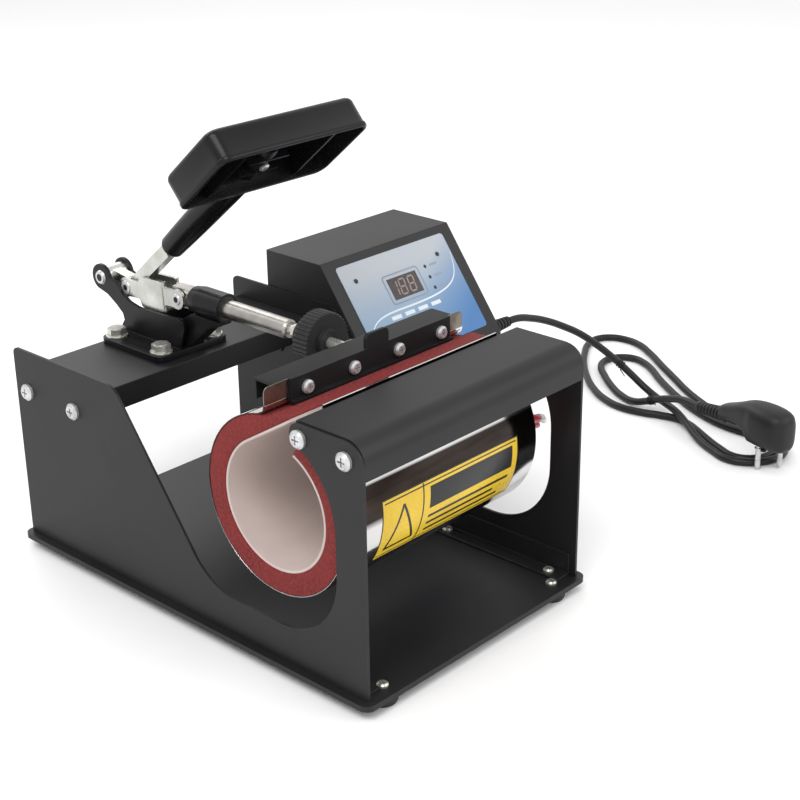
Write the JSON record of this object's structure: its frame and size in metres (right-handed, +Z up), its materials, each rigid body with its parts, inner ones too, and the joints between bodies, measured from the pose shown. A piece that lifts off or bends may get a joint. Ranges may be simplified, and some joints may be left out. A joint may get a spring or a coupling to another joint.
{
  "type": "mug heat press",
  "caption": "Heat press for a drinks mug: sheet-steel frame, wrap-around padded heater, toggle clamp with T handle, side control box and folded mains lead.",
  "frame": {"origin": "middle of the press's footprint on the table, the mains lead left out", "axes": "+Z up, +X from the open end of the heater towards the control box, +Y towards the rear"},
  "size_m": [0.656, 0.396, 0.343],
  "materials": {
    "black_sheet": "black powder coat, satin, fine texture",
    "box_sheet": "black powder coat, satin",
    "foot_rubber": "matt moulded rubber",
    "zinc_screw": "zinc plated steel",
    "bright_screw": "bright nickel plated steel",
    "cream_mat": "smooth cream silicone heating mat",
    "red_silicone": "brick-red silicone sponge, fine cells",
    "mirror_band": "polished stainless sheet",
    "tab_steel": "heat-tinted stainless sheet",
    "yellow_label": "yellow vinyl sticker with plain dark bars",
    "red_lead": "red silicone-insulated lead",
    "black_casting": "black satin paint",
    "bronze": "plain sintered bronze",
    "plated_steel": "zinc plated, lightly brushed",
    "black_knob": "black knurled plastic",
    "grip_plastic": "black moulded plastic, soft gloss",
    "panel_film": "printed film fading from light grey to blue",
    "display_tint": "smoke-tinted window",
    "display_dark": "unlit three-digit display",
    "lamp_dark": "unlit indicator lenses",
    "key_plastic": "soft domed keys",
    "dark_screw": "dark countersunk screws",
    "board_green": "green laminate",
    "relay_blue": "blue moulded case",
    "switch_black": "black moulded nylon",
    "rocker_red": "red moulded rocker",
    "cord_black": "black PVC sheath"
  },
  "bodies": {
    "frame": {"base_plate": "black_sheet", "base_angles": "black_sheet", "rubber_feet": "foot_rubber", "foot_screws": "zinc_screw", "base_screws": "zinc_screw", "side_plate_left": "black_sheet", "side_plate_right": "black_sheet", "rear_channel": "black_sheet", "rear_side_screws": "bright_screw", "front_cover": "black_sheet", "front_side_screws": "bright_screw", "heater_mat": "cream_mat", "silicone_sponge": "red_silicone", "heater_band": "mirror_band", "band_rivets": "zinc_screw", "front_label": "yellow_label", "heater_lead": "red_lead", "toggle_body": "black_casting", "toggle_bolts": "zinc_screw", "toggle_washers": "zinc_screw", "toggle_nuts": "zinc_screw", "plunger_bushing": "bronze", "frame_pivot_pin": "plated_steel", "control_box": "box_sheet", "box_back_cover": "box_sheet", "box_screws": "zinc_screw", "box_rivets": "black_casting", "membrane": "panel_film", "display_window": "display_tint", "display_module": "display_dark", "indicator_lamps": "lamp_dark", "panel_screws": "dark_screw", "circuit_board": "board_green", "power_relay": "relay_blue", "power_switch": "switch_black", "cable_gland": "switch_black", "strain_relief": "cord_black", "power_cord": "cord_black", "cord_hank": "cord_black", "plug": "cord_black"},
    "lever": {"lever": "plated_steel", "grip_sleeve": "grip_plastic", "t_handle": "grip_plastic", "handle_screw": "zinc_screw"},
    "link": {"link": "plated_steel", "knee_rivet": "plated_steel", "nose_rivet": "plated_steel"},
    "plunger": {"plunger": "plated_steel"},
    "press_head": {"pressing_beam": "black_casting", "band_end_tab": "tab_steel", "clamp_plate": "black_casting", "clamp_screws": "bright_screw"},
    "adjuster": {"adjust_stud": "plated_steel", "stud_nuts": "zinc_screw", "adjust_knob": "black_knob"},
    "key_set": {"button_set": "key_plastic"},
    "key_down": {"button_down": "key_plastic"},
    "key_up": {"button_up": "key_plastic"},
    "key_enter": {"button_enter": "key_plastic"},
    "rocker": {"switch_rocker": "rocker_red"}
  },
  "joints": [
    {"name": "handle_hinge", "type": "hinge", "parent": "frame", "child": "lever", "pos_m": [-0.077, 0.1811, 0.1866], "axis": [-1, 0, 0], "range_deg": [0, 65]},
    {"name": "link_hinge", "type": "hinge", "parent": "lever", "child": "link", "pos_m": [-0.077, 0.15606, 0.183], "axis": [-1, 0, 0], "range_deg": [-90, 0.5]},
    {"name": "plunger_slide", "type": "slide", "parent": "frame", "child": "plunger", "axis": [0, 1, 0], "range_m": [0, 0.0152]},
    {"name": "pressure_slide", "type": "slide", "parent": "plunger", "child": "press_head", "axis": [0, 1, 0], "range_m": [0, 0.0025]},
    {"name": "knob_turn", "type": "hinge", "parent": "press_head", "child": "adjuster", "pos_m": [-0.077, -0.045, 0.1884], "axis": [0, 1, 0], "range_deg": [0, 724]},
    {"name": "set_key", "type": "slide", "parent": "frame", "child": "key_set", "axis": [0, 0.807, -0.5906], "range_m": [0, 0.0005], "stiffness_N_per_m": 400},
    {"name": "down_key", "type": "slide", "parent": "frame", "child": "key_down", "axis": [0, 0.807, -0.5906], "range_m": [0, 0.0005], "stiffness_N_per_m": 400},
    {"name": "up_key", "type": "slide", "parent": "frame", "child": "key_up", "axis": [0, 0.807, -0.5906], "range_m": [0, 0.0005], "stiffness_N_per_m": 400},
    {"name": "enter_key", "type": "slide", "parent": "frame", "child": "key_enter", "axis": [0, 0.807, -0.5906], "range_m": [0, 0.0005], "stiffness_N_per_m": 400},
    {"name": "switch_rock", "type": "hinge", "parent": "frame", "child": "rocker", "pos_m": [0.148, 0.1259, 0.082], "axis": [1, 0, 0], "range_deg": [-16, 0]}
  ],
  "couplings": [
    {"joint": "link_hinge", "follows": "handle_hinge", "ratio": -1.3763},
    {"joint": "plunger_slide", "follows": "handle_hinge", "m_per_rad": 0.013222},
    {"joint": "knob_turn", "follows": "pressure_slide", "rad_per_m": 5026.6}
  ]
}
